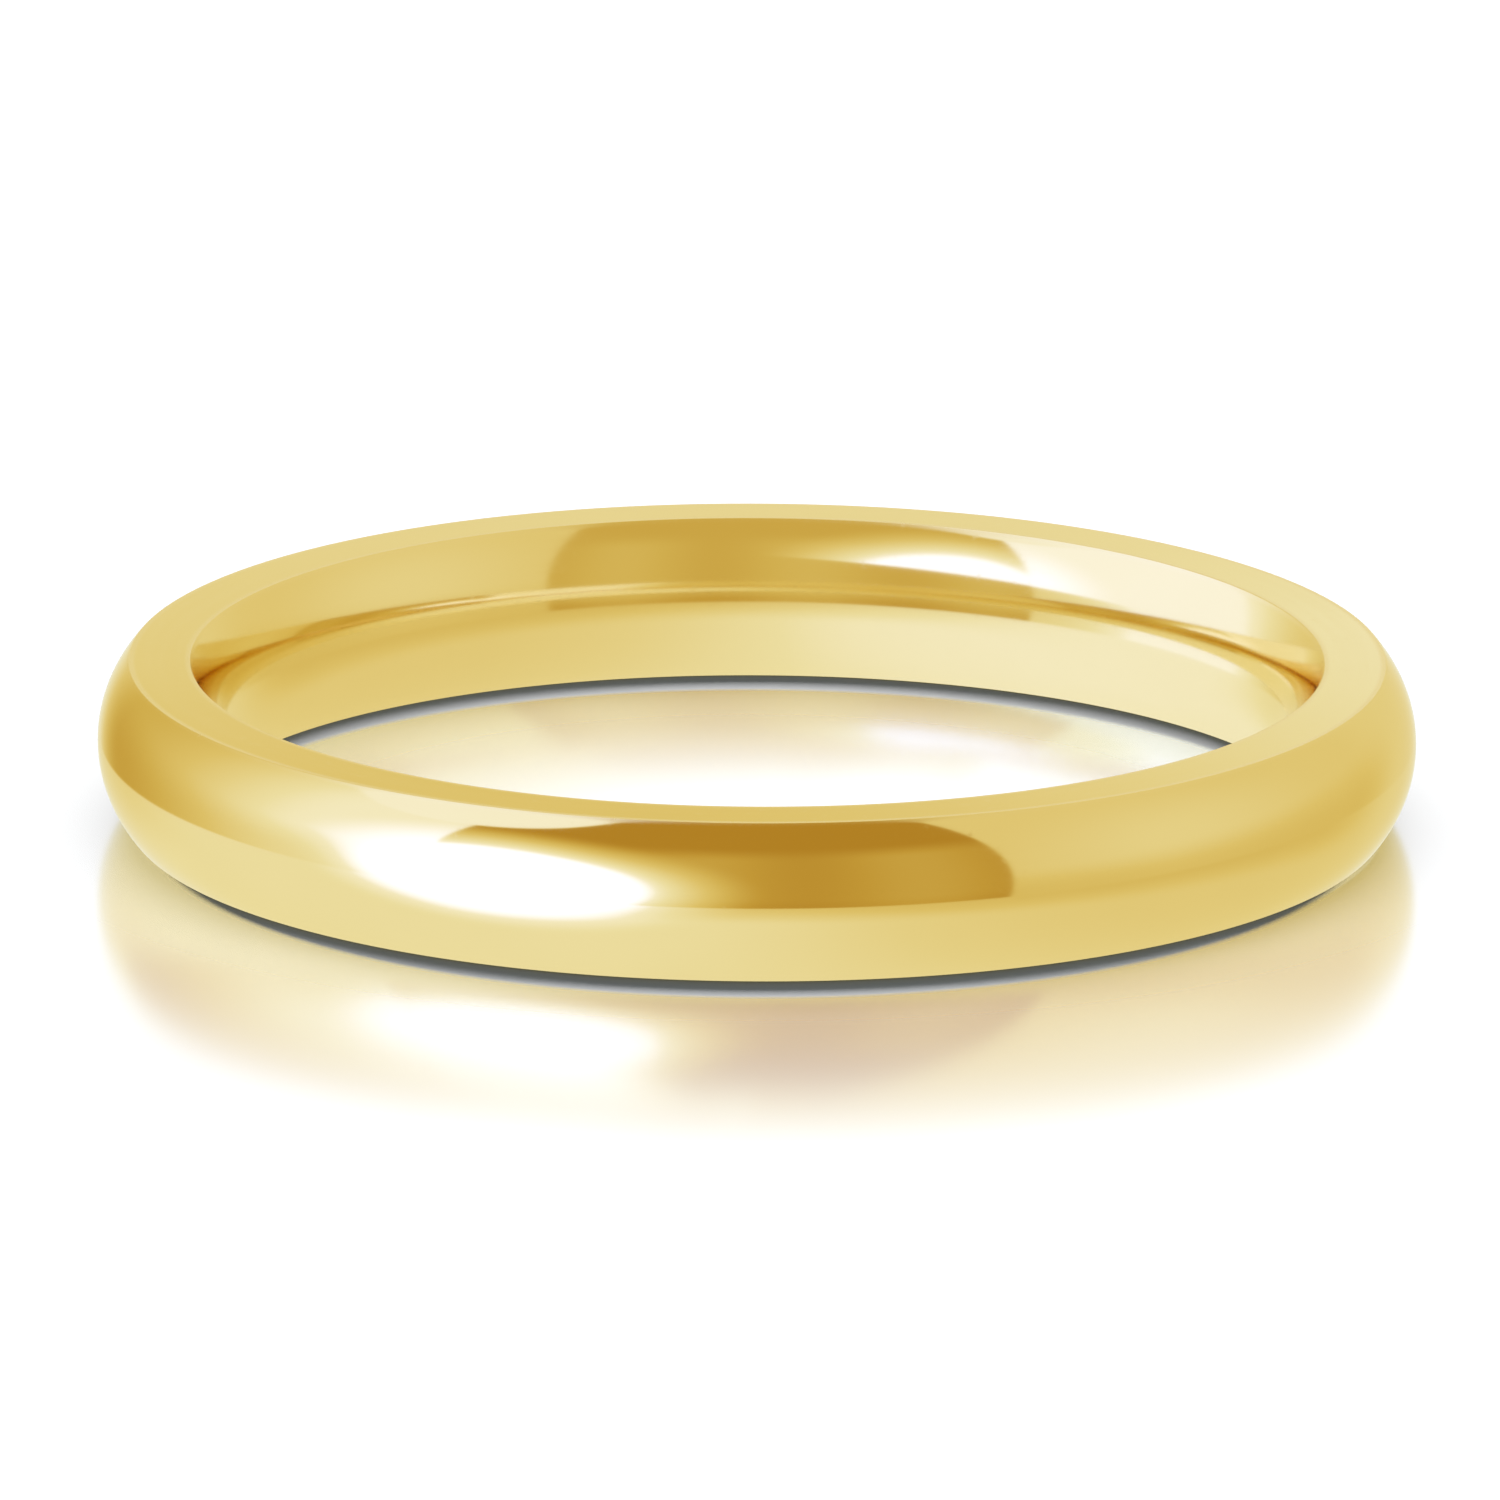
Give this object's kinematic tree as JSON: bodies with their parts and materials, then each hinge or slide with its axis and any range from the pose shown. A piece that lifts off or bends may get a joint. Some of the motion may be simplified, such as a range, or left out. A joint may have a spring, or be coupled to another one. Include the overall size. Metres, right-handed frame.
{
  "type": "wedding band",
  "caption": "Plain polished wedding band: seamless ring with a domed outside, a rounded comfort-fit inside and narrow flat sides.",
  "frame": {"origin": "centre of the finger hole at mid-width", "axes": "+Z along the finger's axis, square to the flat sides; the band is a full revolution, so +X and +Y are free"},
  "size_m": [0.0202, 0.02, 0.0024],
  "materials": {
    "gold": "high-polish yellow gold"
  },
  "bodies": {
    "root": {"band": "gold"}
  },
  "joints": []
}
